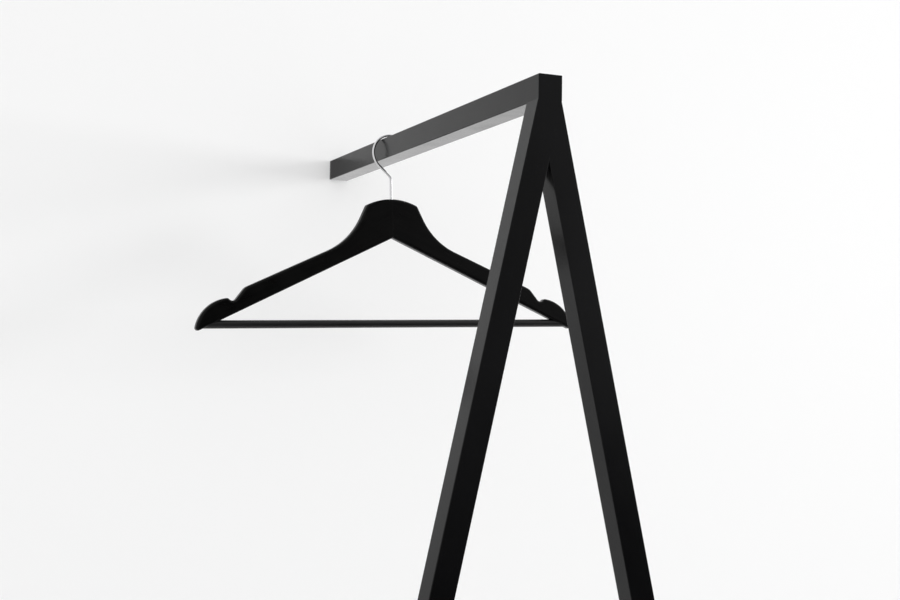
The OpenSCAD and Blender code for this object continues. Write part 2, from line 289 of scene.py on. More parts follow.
def revolve(profile: np.ndarray, sides: int) -> Pair:
    """Turns a closed profile round the Z axis: a point keeps its height and its radius.

    Args:
        profile: radius and height of each point of the profile, n by 2.
        sides: number of steps round the axis.

    Returns:
        The points, and the faces of the closed surface.
    """
    a = np.linspace(0, 2 * math.pi, sides, endpoint=False)
    r, h = profile[:, 0][:, None], profile[:, 1][:, None]
    points = np.stack([r * np.cos(a), r * np.sin(a), h + 0 * a], axis=-1).reshape(-1, 3)
    return points, grid_faces(len(profile), sides, close_rows=True)


def cut(obj: bpy.types.Object, tools: list[bpy.types.Object]) -> None:
    """Cuts the tools out of a piece, and removes them.

    Args:
        obj: the piece, whose mesh is changed for the cut one.
        tools: closed pieces of the room to be cut away.
    """
    for tool in tools:
        step = obj.modifiers.new("cut", "BOOLEAN")
        step.operation, step.solver, step.object = "DIFFERENCE", "EXACT", tool
    bpy.context.view_layer.update()
    evaluated = obj.evaluated_get(bpy.context.evaluated_depsgraph_get())
    done = bpy.data.meshes.new_from_object(evaluated)
    obj.modifiers.clear()
    old, obj.data = obj.data, done
    done.name = obj.name
    bpy.data.meshes.remove(old)
    for tool in tools:
        bpy.data.objects.remove(tool)
    done.shade_smooth()
    done.set_sharp_from_angle(angle=SMOOTH_ANGLE)


# Finishes


def remap(
    tree: bpy.types.NodeTree,
    value: bpy.types.NodeSocket,
    ends: Span,
    levels: Span,
    smooth: bool = False,
) -> bpy.types.NodeSocket:
    """Runs a value from one level to another between two ends, and holds it beyond them.

    Args:
        tree: the nodes that the new one joins.
        value: the value.
        ends: where the change starts and ends.
        levels: what the value becomes there.
        smooth: whether the change eases in and out.

    Returns:
        The new value's socket.
    """
    node = tree.nodes.new("ShaderNodeMapRange")
    node.interpolation_type = "SMOOTHSTEP" if smooth else "LINEAR"
    sockets = "From Min", "From Max", "To Min", "To Max"
    for socket, number in zip(sockets, ends + levels):
        node.inputs[socket].default_value = number
    tree.links.new(value, node.inputs["Value"])
    return node.outputs["Result"]


class Recipe:
    """One node material, put together step by step on Object coordinates."""

    def __init__(self, name: str) -> None:
        """Starts a material with a principled shader.

        Args:
            name: the material's name.
        """
        self.material = bpy.data.materials.new(name)
        self.material.use_nodes = True
        self.tree = self.material.node_tree
        self.shader = self.tree.nodes["Principled BSDF"]
        self.coordinates = self.tree.nodes.new("ShaderNodeTexCoord")

    def set(self, **sockets: float | tuple[float, ...]) -> None:
        """Sets constants on the shader's own sockets; an underscore stands for a space."""
        for name, value in sockets.items():
            self.shader.inputs[name.replace("_", " ")].default_value = value

    def place(self, stretch: Triple = (1.0, 1.0, 1.0), turn: float = 0.0) -> bpy.types.NodeSocket:
        """Object coordinates turned about Y, then stretched.

        Args:
            stretch: factor along each turned axis.
            turn: angle about Y, in radians.

        Returns:
            The vector socket.
        """
        turned = self.tree.nodes.new("ShaderNodeVectorRotate")
        turned.rotation_type = "Y_AXIS"
        turned.inputs["Angle"].default_value = turn
        self.tree.links.new(self.coordinates.outputs["Object"], turned.inputs["Vector"])
        scaled = self.tree.nodes.new("ShaderNodeMapping")
        scaled.inputs["Scale"].default_value = stretch
        self.tree.links.new(turned.outputs["Vector"], scaled.inputs["Vector"])
        return scaled.outputs["Vector"]

    def noise(
        self,
        vector: bpy.types.NodeSocket,
        scale: float,
        detail: float = 3.0,
        distortion: float = 0.0,
    ) -> bpy.types.NodeSocket:
        """Noise as a value around one half.

        Args:
            vector: the coordinates that it reads.
            scale: cells a metre.
            detail: how many finer layers it has.
            distortion: how much it is twisted.

        Returns:
            The value's socket.
        """
        node = self.tree.nodes.new("ShaderNodeTexNoise")
        node.inputs["Scale"].default_value = scale
        node.inputs["Detail"].default_value = detail
        node.inputs["Distortion"].default_value = distortion
        self.tree.links.new(vector, node.inputs["Vector"])
        return node.outputs["Fac"]

    def tint(self, value: bpy.types.NodeSocket, dark: Triple, light: Triple) -> None:
        """Colours the surface by a noise.

        Args:
            value: the noise.
            dark: the colour where it is low.
            light: the colour where it is high.
        """
        share = remap(self.tree, value, NOISE_MIDDLE, (0.0, 1.0))
        node = self.tree.nodes.new("ShaderNodeMix")
        node.data_type = "RGBA"
        node.inputs["A"].default_value = (*dark, 1.0)
        node.inputs["B"].default_value = (*light, 1.0)
        self.tree.links.new(share, node.inputs["Factor"])
        self.tree.links.new(node.outputs["Result"], self.shader.inputs["Base Color"])

    def rough(self, value: bpy.types.NodeSocket, ends: Span) -> None:
        """Runs the roughness between two ends by a noise."""
        level = remap(self.tree, value, NOISE_MIDDLE, ends)
        self.tree.links.new(level, self.shader.inputs["Roughness"])

    def bumps(self, layers: list[tuple[bpy.types.NodeSocket, float]]) -> None:
        """Stacks bump layers.

        Args:
            layers: each a height socket and its depth in metres.
        """
        normal = None
        for height, depth in layers:
            node = self.tree.nodes.new("ShaderNodeBump")
            node.inputs["Distance"].default_value = depth
            self.tree.links.new(height, node.inputs["Height"])
            if normal is not None:
                self.tree.links.new(normal, node.inputs["Normal"])
            normal = node.outputs["Normal"]
        self.tree.links.new(normal, self.shader.inputs["Normal"])


@dataclass(frozen=True)
class PowderCoat:
    """Baked black powder coat on steel: a fine, slightly dimpled skin."""

    dark: Triple = (0.0028, 0.0028, 0.0031)
    light: Triple = (0.0048, 0.0048, 0.0052)
    roughness: Span = (0.17, 0.24)
    ior: float = 1.30
    cloud_per_m: float = 9.0
    sheen_per_m: float = 24.0
    grit_per_m: float = 1500.0
    grit_depth: float = 0.000006
    wave_per_m: float = 160.0
    wave_depth: float = 0.00003

    def material(self, name: str) -> bpy.types.Material:
        """Builds the node material.

        Args:
            name: its name.

        Returns:
            The material.
        """
        recipe = Recipe(name)
        even = recipe.place()
        recipe.set(IOR=self.ior)
        recipe.tint(recipe.noise(even, self.cloud_per_m), self.dark, self.light)
        recipe.rough(recipe.noise(even, self.sheen_per_m, detail=5.0), self.roughness)
        recipe.bumps(
            [
                (recipe.noise(even, self.wave_per_m, detail=2.0), self.wave_depth),
                (recipe.noise(even, self.grit_per_m, detail=2.0), self.grit_depth),
            ]
        )
        return recipe.material


@dataclass(frozen=True)
class StainedWood:
    """Wood stained black under satin lacquer, with its grain drawn out along one direction."""

    dark: Triple = (0.0007, 0.0007, 0.0008)
    light: Triple = (0.0021, 0.0020, 0.0019)
    roughness: Span = (0.26, 0.36)
    ior: float = 1.24
    stretch: float = 0.06
    sheen_per_m: float = 60.0
    grain_per_m: float = 420.0
    grain_depth: float = 0.00005
    pore_per_m: float = 1300.0
    pore_depth: float = 0.00004

    def material(self, name: str, turn: float) -> bpy.types.Material:
        """Builds the node material.

        Args:
            name: its name.
            turn: angle of the grain about Y, in radians.

        Returns:
            The material.
        """
        recipe = Recipe(name)
        along = recipe.place((self.stretch, 1.0, 1.0), turn)
        even = recipe.place()
        grain = recipe.noise(along, self.grain_per_m, detail=4.0, distortion=0.6)
        recipe.set(IOR=self.ior)
        recipe.tint(grain, self.dark, self.light)
        recipe.rough(recipe.noise(even, self.sheen_per_m, detail=4.0), self.roughness)
        recipe.bumps(
            [
                (grain, self.grain_depth),
                (recipe.noise(along, self.pore_per_m, detail=1.0), self.pore_depth),
            ]
        )
        return recipe.material


@dataclass(frozen=True)
class Metal:
    """Bare or plated metal with fine marks, drawn out along the axes with a low stretch."""

    dark: Triple
    light: Triple
    roughness: Span
    stretch: Triple
    mark_per_m: float
    mark_depth: float
    cloud_per_m: float = 90.0

    def material(self, name: str) -> bpy.types.Material:
        """Builds the node material.

        Args:
            name: its name.

        Returns:
            The material.
        """
        recipe = Recipe(name)
        marks = recipe.noise(recipe.place(self.stretch), self.mark_per_m)
        cloud = recipe.noise(recipe.place(), self.cloud_per_m, detail=4.0)
        recipe.set(Metallic=1.0)
        recipe.tint(cloud, self.dark, self.light)
        recipe.rough(marks, self.roughness)
        recipe.bumps([(marks, self.mark_depth)])
        return recipe.material


@dataclass(frozen=True)
class MouldedPlastic:
    """Black moulded plastic with a fine spark-eroded grain."""

    dark: Triple = (0.012, 0.012, 0.012)
    light: Triple = (0.018, 0.018, 0.018)
    roughness: Span = (0.48, 0.60)
    ior: float = 1.5
    cloud_per_m: float = 30.0
    sheen_per_m: float = 200.0
    grain_per_m: float = 2600.0
    grain_depth: float = 0.00003

    def material(self, name: str) -> bpy.types.Material:
        """Builds the node material.

        Args:
            name: its name.

        Returns:
            The material.
        """
        recipe = Recipe(name)
        even = recipe.place()
        recipe.set(IOR=self.ior)
        recipe.tint(recipe.noise(even, self.cloud_per_m), self.dark, self.light)
        recipe.rough(recipe.noise(even, self.sheen_per_m), self.roughness)
        recipe.bumps([(recipe.noise(even, self.grain_per_m, detail=1.0), self.grain_depth)])
        return recipe.material


ZINC = Metal(
    dark=(0.36, 0.37, 0.39),
    light=(0.48, 0.49, 0.51),
    roughness=(0.30, 0.44),
    stretch=(1.0, 0.08, 1.0),
    mark_per_m=1800.0,
    mark_depth=0.00001,
)
BRASS = Metal(
    dark=(0.52, 0.37, 0.15),
    light=(0.66, 0.49, 0.22),
    roughness=(0.20, 0.32),
    stretch=(0.1, 0.1, 1.0),
    mark_per_m=3000.0,
    mark_depth=0.00001,
)
WIRE = Metal(
    dark=(0.70, 0.70, 0.72),
    light=(0.80, 0.80, 0.81),
    roughness=(0.03, 0.07),
    stretch=(1.0, 1.0, 0.12),
    mark_per_m=1600.0,
    mark_depth=0.000003,
)
BAR_WOOD = StainedWood(roughness=(0.36, 0.46), ior=1.5)


def dress(obj: bpy.types.Object, material: bpy.types.Material) -> None:
    """Gives a piece one material in all its slots.

    Args:
        obj: the piece.
        material: the material.
    """
    if not obj.data.materials:
        obj.data.materials.append(material)
    for holder in obj.material_slots:
        holder.material = material


# The stand


@dataclass
class TubeStand:
    """Rail, legs, feet and wall fixing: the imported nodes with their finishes."""

    coated: tuple[str, ...] = ("rail", "rail_end_plate", "leg_left", "leg_right")
    plated: tuple[str, ...] = ("wall_block", "set_screw")
    moulded: tuple[str, ...] = ("foot_left", "foot_right")

    def build(self) -> list[bpy.types.Object]:
        """Dresses every node of the stand.

        Returns:
            The dressed nodes.
        """
        pieces = []
        for names, material in (
            (self.coated, PowderCoat().material("powder_black")),
            (self.plated, ZINC.material("zinc_plate")),
            (self.moulded, MouldedPlastic().material("foot_plastic")),
        ):
            for name in names:
                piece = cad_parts[name]
                dress(piece, material)
                pieces.append(piece)
        return pieces


# The hanger


@dataclass(frozen=True)
class HangPlace:
    """Where the hanger hangs: the middle of the hook's bow, and its lean in its own plane."""

    y: float = 0.1125
    z: float = 1.634357
    lean: float = math.radians(2.0)

    def put(self, across: np.ndarray, depth: np.ndarray, up: np.ndarray) -> np.ndarray:
        """Places local points: leans them in the hanger's plane, then moves them to the bow.

        With the lean l, x is a cos l - u sin l, and z is a sin l + u cos l over the bow's middle.

        Args:
            across: way to the right in the hanger's plane.
            depth: way towards the wall.
            up: way up from the middle of the bow, in the hanger's plane.

        Returns:
            The points, with a last axis of 3.
        """
        c, s = math.cos(self.lean), math.sin(self.lean)
        a, d, u = np.broadcast_arrays(across, depth, up)
        return np.stack([a * c - u * s, self.y + d, self.z + a * s + u * c], axis=-1)


@dataclass
class WireHook:
    """Round wire bent into a bow over the rail, a slant, a bend and an upright stem."""

    place: HangPlace
    wire_r: float = 1.6 * MM
    bow_r: float = 21.6 * MM
    tip_a: float = -8.0
    leave_a: float = 227.0
    bend_r: float = 7.0 * MM
    stem_end: float = -74.58 * MM
    upset_r: float = 2.5 * MM
    upset_h: float = 2.0 * MM
    ledge: float = 0.3 * MM
    tip_angles: tuple[float, ...] = (90, 82, 72, 60, 48, 36, 24, 12)
    bow_steps: int = 95
    slant_steps: int = 4
    bend_steps: int = 20
    stem_steps: int = 11
    sides: int = 40

    def stations(self) -> tuple[np.ndarray, np.ndarray, np.ndarray]:
        """Middles, ways ahead and radii along the wire.

        The tip is rounded by a quarter circle: each of its angles gives the wire's radius times
        its cosine as the radius, and times its sine as the way behind the bow's start. The bow
        and the bend are arcs, with a straight slant between them, just long enough to bring the
        bend's end under the bow's middle. The stem runs down to its upset end.

        Returns:
            Middles, n by 2, angles of the way ahead in degrees, and radii.
        """
        e = np.radians(np.array(self.tip_angles))
        tip = self.bow_r * unit(self.tip_a)
        round_tip = tip + np.outer(self.wire_r * np.sin(e), unit(self.tip_a - 90))
        bow_a = np.linspace(self.tip_a, self.leave_a, self.bow_steps)
        turn = self.leave_a - 180
        bow_end = self.bow_r * unit(self.leave_a)
        t = math.radians(turn)
        slant = (-self.bend_r * (1 - math.cos(t)) - bow_end[0]) / math.sin(t)
        bend_z = bow_end[1] - slant * math.cos(t) - self.bend_r * math.sin(t)
        along = np.linspace(0, 1, self.slant_steps + 2)[1:-1]
        slant_points = bow_end + np.outer(along * slant, unit(self.leave_a + 90))
        bend_a = np.linspace(turn, 0, self.bend_steps)
        bend = np.array([-self.bend_r, bend_z]) + self.bend_r * unit(bend_a)
        down = np.linspace(bend_z, self.stem_end, self.stem_steps + 1)[1:]
        high, low = self.stem_end, self.stem_end - self.upset_h
        wide, narrow = self.upset_r, self.upset_r - self.ledge
        upset_z = np.array([high, high - self.ledge, low + self.ledge, low, low])
        upset = np.array([narrow, wide, wide, narrow, 0.0])
        stem_z = np.r_[down, upset_z]
        middles = np.r_[
            round_tip,
            self.bow_r * unit(bow_a),
            slant_points,
            bend,
            np.stack([0 * stem_z, stem_z], axis=1),
        ]
        ways = np.r_[
            np.full(len(e), self.tip_a + 90),
            bow_a + 90,
            np.full(len(along), self.leave_a + 90),
            bend_a - 90,
            np.full(len(stem_z), -90.0),
        ]
        radii = np.r_[
            self.wire_r * np.cos(e),
            np.full(len(bow_a) + len(along) + len(bend_a) + len(down), self.wire_r),
            upset,
        ]
        return middles, ways, radii

    def build(self) -> bpy.types.Object:
        """Sweeps a circle along the stations.

        A point is its station's middle, plus the radius times the cosine of its angle across the
        wire and the sine in depth.

        Returns:
            The hook, riding on its own body.
        """
        middles, ways, radii = self.stations()
        b = np.linspace(0, 2 * math.pi, self.sides, endpoint=False)
        across = unit(ways - 90)
        flat = middles[:, None, :] + (radii[:, None] * np.cos(b))[..., None] * across[:, None, :]
        depth = radii[:, None] * np.sin(b)
        points = self.place.put(flat[..., 0], depth, flat[..., 1]).reshape(-1, 3)
        hook = mesh_object("wire_hook", points, grid_faces(len(radii), self.sides).tolist())
        dress(hook, WIRE.material("polished_wire"))
        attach(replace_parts(hook, "hook"), "hook")
        return hook


@dataclass
class ArmShape:
    """Outline of one wooden arm, from the middle of the head to the tip.

    x runs outwards from the middle and y up from the top of the crown. The top edge is a chain of
    tangent arcs and lines; the underside is straight; both end at the middle of the rounded tip.
    """

    half_width: float = 240.5 * MM
    head_h: float = 46.8 * MM
    crown_r: float = 71 * MM
    crown_half: float = 31 * MM
    corner_r: float = 4 * MM
    side_a: float = 64.0
    sweep_r: float = 83 * MM
    top_a: float = 23.6
    under_a: float = 24.85
    top_drop: float = 27.2 * MM
    nose_r: float = 3.2 * MM
    lobe_r: float = 43 * MM
    notch_from_tip: float = 43.0 * MM
    notch_r: float = 5.3 * MM
    notch_sink: float = 3.6 * MM
    flank_a: float = 51.0
    shoulder_r: float = 14 * MM
    lip_a: float = 47.0
    lip_r: float = 4 * MM
    longest: float = 5 * MM
    seam_at: tuple[float, ...] = (0.0, 0.12 * MM, 0.25 * MM, 0.4 * MM, 0.7 * MM, 1.5 * MM)
    crown_from: float = 3 * MM
    crown_steps: int = 10
    wide_step: float = 2.0
    shoulder_step: float = 4.0
    corner_step: float = 5.0
    tight_step: float = 6.0

    @property
    def under_n(self) -> float:
        """Angle of the underside's normal, which faces down and inwards, in degrees."""
        return -90 - self.under_a

    @property
    def slope(self) -> float:
        """How far the underside drops for each metre outwards."""
        return math.tan(math.radians(self.under_a))

    def nose(self) -> np.ndarray:
        """Middle of the rounded tip, which lies one nose radius off the underside.

        Returns:
            The point.
        """
        x = self.half_width - self.nose_r
        lift = self.nose_r / math.cos(math.radians(self.under_a))
        return np.array([x, -self.head_h - x * self.slope + lift])

    def top_edge(self) -> tuple[np.ndarray, np.ndarray, float]:
        """The top edge, from the middle of the crown to the middle of the rounded tip.

        Each arc starts where the one before ends, or where a straight run tangent to both does.

        Returns:
            Its points and their outward directions, each n by 2, and the last direction's angle.
        """
        top_n, side_n, flank_n = 90 - self.top_a, 90 - self.side_a, 90 - self.flank_a
        crown_c = np.array([0, -self.crown_r])
        corner_a = 90 - math.degrees(math.asin(self.crown_half / self.crown_r))
        corner_c = crown_c + (self.crown_r - self.corner_r) * unit(corner_a)
        ridge = np.array([0, -self.top_drop])
        sweep_at = meet(corner_c + self.corner_r * unit(side_n), side_n - 90, ridge, -self.top_a)
        sweep_c = fillet_middle(sweep_at, self.sweep_r, top_n, side_n)
        notch_x = self.half_width - self.notch_from_tip
        notch_y = -self.top_drop - notch_x * math.tan(math.radians(self.top_a)) - self.notch_sink
        notch_c = np.array([notch_x, notch_y])
        flank = notch_c - self.notch_r * unit(flank_n)
        shoulder_at = meet(flank, flank_n - 90, ridge, -self.top_a)
        shoulder_c = fillet_middle(shoulder_at, -self.shoulder_r, top_n, flank_n)
        lip_c = notch_c + (self.notch_r + self.lip_r) * unit(self.lip_a - 90)
        nose_c = self.nose()
        lobe_c = circles_meet(nose_c, self.lobe_r - self.nose_r, lip_c, self.lobe_r - self.lip_r)
        lobe_from, lobe_to = angle_of(lip_c - lobe_c), angle_of(nose_c - lobe_c)
        tip_a = (lobe_to + self.under_n) / 2
        crown_x = np.linspace(self.crown_from, self.crown_half, self.crown_steps)
        crown_d = unit(np.degrees(np.arccos(np.r_[self.seam_at, crown_x] / self.crown_r)))
        wide, corner, tight = self.wide_step, self.corner_step, self.tight_step
        chain = [
            (crown_c + self.crown_r * crown_d, crown_d),
            arc(corner_c, self.corner_r, corner_a, side_n, corner),
            arc(sweep_c, self.sweep_r, side_n + 180, top_n + 180, wide, -1),
            arc(shoulder_c, self.shoulder_r, top_n, flank_n, self.shoulder_step),
            arc(notch_c, self.notch_r, flank_n + 180, self.lip_a + 270, tight, -1),
            arc(lip_c, self.lip_r, self.lip_a + 90, lobe_from, corner),
            arc(lobe_c, self.lobe_r, lobe_from, lobe_to, wide),
            arc(nose_c, self.nose_r, lobe_to, tip_a, tight),
        ]
        points, facing = (np.concatenate(part) for part in zip(*chain))
        return (*refine(points, facing, self.longest), tip_a)

    def edges(self) -> tuple[np.ndarray, np.ndarray, np.ndarray, np.ndarray]:
        """Pairs of points on the top edge and the underside, with their outward directions.

        A point of the top has its fellow straight below it on the underside, up to the rounded
        tip; from there both share the rest of their way evenly.

        Returns:
            Top points, top directions, underside points, underside directions, each n by 2.
        """
        top, top_d, tip_a = self.top_edge()
        nose_c = self.nose()
        x = top[top[:, 0] < nose_c[0] - 2 * self.nose_r, 0]
        under = np.stack([x, -self.head_h - x * self.slope], axis=1)
        under_d = np.tile([0, -1 / math.cos(math.radians(self.under_a))], (len(x), 1))
        curl = arc(nose_c, self.nose_r, self.under_n, tip_a, self.tight_step)
        way = resample(np.r_[under[-1:], curl[0]], len(top) - len(x) + 1)[1:]
        lean = np.degrees(np.arctan2(way[:, 1] - nose_c[1], way[:, 0] - nose_c[0]))
        lean = np.where(lean > 0, lean - 360, lean)
        way_d = unit(np.clip(lean, self.under_n, tip_a))
        way[-1], way_d[-1] = top[-1], top_d[-1]
        return top, top_d, np.r_[under, way], np.r_[under_d, way_d]


@dataclass
class HangerArm:
    """One wooden arm: rounded edges, fine joint line in the middle, bore, socket and pin hole."""

    side: Side
    place: HangPlace
    shape: ArmShape
    thick: float = 12 * MM
    edge_r: float = 3.0 * MM
    crown_at: float = -56.2 * MM
    edge_steps: int = 9
    seam_depth: float = 0.07 * MM
    seam_width: float = 0.22 * MM
    bore_r: float = 3.1 * MM
    bore_bottom: float = -76.88 * MM
    bar_drop: float = 149.499 * MM
    socket_r: float = 4.85 * MM
    socket_ends: Span = (205.5 * MM, 233.6 * MM)
    pin_x: float = 228.5 * MM
    pin_up: float = 2 * MM
    pin_r: float = 0.8 * MM
    pin_deep: float = 8.1 * MM
    bore_over: float = 2 * MM
    pin_over: float = 1 * MM
    tool_sides: int = 64
    across: tuple[float, ...] = (0.02, 0.1, 0.3, 0.5, 0.7, 0.9, 0.98)

    def columns(self) -> tuple[np.ndarray, np.ndarray, np.ndarray]:
        """Points of one ring round the arm, as blend, inset and depth.

        The blend is 0 on the underside and 1 on the top. A rounded edge is a quarter circle: at
        an angle from 0 to 90 degrees its inset is the radius times one less the sine, and it
        lies the radius times one less the cosine under the flat face.

        Returns:
            Three arrays of the same length, once round the arm.
        """
        a = np.linspace(0, math.pi / 2, self.edge_steps + 1)
        inset = self.edge_r * (1 - np.sin(a))
        depth = self.thick / 2 - self.edge_r * (1 - np.cos(a))
        across = np.array(self.across)
        rim_inset, rim_depth = np.r_[inset, inset[::-1]], np.r_[-depth, depth[::-1]]
        flat_inset = np.full(len(across), self.edge_r)
        flat_depth = np.full(len(across), self.thick / 2)
        blend = np.r_[across, np.ones(len(rim_inset)), across[::-1], np.zeros(len(rim_inset))]
        inset = np.r_[flat_inset, rim_inset, flat_inset, rim_inset]
        depth = np.r_[-flat_depth, rim_depth, flat_depth, rim_depth[::-1]]
        return blend, inset, depth

    def tool(self, radius: float, start: Vector, stop: Vector) -> bpy.types.Object:
        """A round cutting tool between two places.

        Args:
            radius: its radius.
            start: middle of its first end.
            stop: middle of its last end.

        Returns:
            The tool.
        """
        way = stop - start
        profile = np.array([[0, 0], [radius, 0], [radius, way.length], [0, way.length]])
        points, faces = revolve(profile, self.tool_sides)
        turn = way.to_track_quat("Z", "Y").to_matrix()
        points = points @ np.array(turn).T + np.array(start)
        return mesh_object("tool", points, faces.tolist())

    def local(self, across: float, depth: float, up: float) -> Vector:
        """A place in the head's own frame: up is counted from the crown."""
        return Vector(self.place.put(across, depth, up + self.crown_at).tolist())

    def tools(self) -> list[bpy.types.Object]:
        """Makes the tools for the bush's bore, the bar's socket and the pin's hole.

        Returns:
            The three tools.
        """
        s, (low, high) = self.side.value, self.socket_ends
        bore_z, bar_z = self.bore_bottom - self.crown_at, -self.bar_drop
        pin_x, pin_z, back = s * self.pin_x, self.pin_up - self.bar_drop, self.thick / 2
        pin_from, pin_to = back - self.pin_deep, back + self.pin_over
        runs = (
            (self.bore_r, (0, 0, bore_z), (0, 0, self.bore_over)),
            (self.socket_r, (s * low, 0, bar_z), (s * high, 0, bar_z)),
            (self.pin_r, (pin_x, pin_from, pin_z), (pin_x, pin_to, pin_z)),
        )
        return [self.tool(r, self.local(*start), self.local(*stop)) for r, start, stop in runs]

    def build(self) -> bpy.types.Object:
        """Runs the ring along the outline, then cuts it.

        A point lies between the underside and the top, at the share that its blend says, after
        both have moved inwards by its inset. Near the middle the inset grows by a narrow bell
        curve, the exponential of minus the square of x over the seam's width, which draws the
        joint line.

        Returns:
            The arm, riding with the hanger.
        """
        top, top_d, under, under_d = self.shape.edges()
        blend, inset, depth = self.columns()
        seam = self.seam_depth * np.exp(-((top[:, 0] / self.seam_width) ** 2))[:, None]
        inset, blend = (inset + seam)[..., None], blend[None, :, None]
        low = under[:, None] - inset * under_d[:, None]
        high = top[:, None] - inset * top_d[:, None]
        flat = (1 - blend) * low + blend * high
        y = depth - np.sign(depth) * seam
        points = self.place.put(self.side.value * flat[..., 0], y, flat[..., 1] + self.crown_at)
        rings, ring = points.shape[:2]
        faces = [*grid_faces(rings, ring).tolist(), list(range(ring))]
        side = self.side.name.lower()
        arm = mesh_object(f"arm_{side}_wood", points.reshape(-1, 3), faces)
        cut(arm, self.tools())
        slope = math.radians(self.side.value * (self.shape.top_a + self.shape.under_a) / 2)
        dress(arm, StainedWood().material(f"stained_{side}", self.place.lean - slope))
        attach(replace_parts(arm, f"hanger_arm_{side}"), "hanger")
        return arm


@dataclass
class TrouserBar:
    """Round wooden bar between the tips."""

    place: HangPlace
    radius: float = 4.75 * MM
    half: float = 233.5 * MM
    chamfer: float = 0.5 * MM
    up: float = -205.699 * MM
    steps: int = 60
    sides: int = 72

    def build(self) -> bpy.types.Object:
        """Carries a circle along a straight line, with chamfered ends that close in a point.

        Returns:
            The bar, riding with the hanger.
        """
        s = np.linspace(-self.half + self.chamfer, self.half - self.chamfer, self.steps)
        s = np.r_[-self.half, -self.half, s, self.half, self.half]
        r = np.full(len(s), self.radius)
        r[[0, -1]] = 0.0
        r[[1, -2]] -= self.chamfer
        b = np.linspace(0, 2 * math.pi, self.sides, endpoint=False)
        depth, up = r[:, None] * np.cos(b), self.up + r[:, None] * np.sin(b)
        points = self.place.put(s[:, None], depth, up).reshape(-1, 3)
        bar = mesh_object("bar_wood", points, grid_faces(len(s), self.sides).tolist())
        dress(bar, BAR_WOOD.material("stained_bar", self.place.lean))
        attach(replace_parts(bar, "trouser_bar"), "hanger")
        return bar


@dataclass
class StemBush:
    """Turned brass bush in the head, round the hook's stem."""

    place: HangPlace
    bore_r: float = 1.68 * MM
    outer_r: float = 3.0 * MM
    top: float = -56.28 * MM
    length: float = 18 * MM
    chamfer: float = 0.25 * MM
    sides: int = 64

    def build(self) -> bpy.types.Object:
        """Turns a chamfered wall round the stem's axis.

        Returns:
            The bush, riding with the hanger.
        """
        c, low = self.chamfer, self.top - self.length
        profile = np.array(
            [
                [self.bore_r, low + c],
                [self.bore_r + c, low],
                [self.outer_r - c, low],
                [self.outer_r, low + c],
                [self.outer_r, self.top - c],
                [self.outer_r - c, self.top],
                [self.bore_r + c, self.top],
                [self.bore_r, self.top - c],
            ]
        )
        points, faces = revolve(profile, self.sides)
        points = self.place.put(*points.T)
        bush = mesh_object("bush_brass", points, faces.tolist())
        dress(bush, BRASS.material("turned_brass"))
        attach(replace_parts(bush, "hook_bush"), "hanger")
        return bush


@dataclass
class Hanger:
    """Wooden hanger with its hook."""

    place: HangPlace

    def build(self) -> list[bpy.types.Object]:
        """Builds the hook, both arms, the bar and the bush, and dresses the pins.

        Returns:
            All its pieces.
        """
        shape, pins = ArmShape(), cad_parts["bar_pins"]
        pieces = [
            WireHook(self.place).build(),
            HangerArm(Side.LEFT, self.place, shape).build(),
            HangerArm(Side.RIGHT, self.place, shape).build(),
            TrouserBar(self.place).build(),
            StemBush(self.place).build(),
        ]
        dress(pins, ZINC.material("pin_steel"))
        return [*pieces, pins]


# Studio


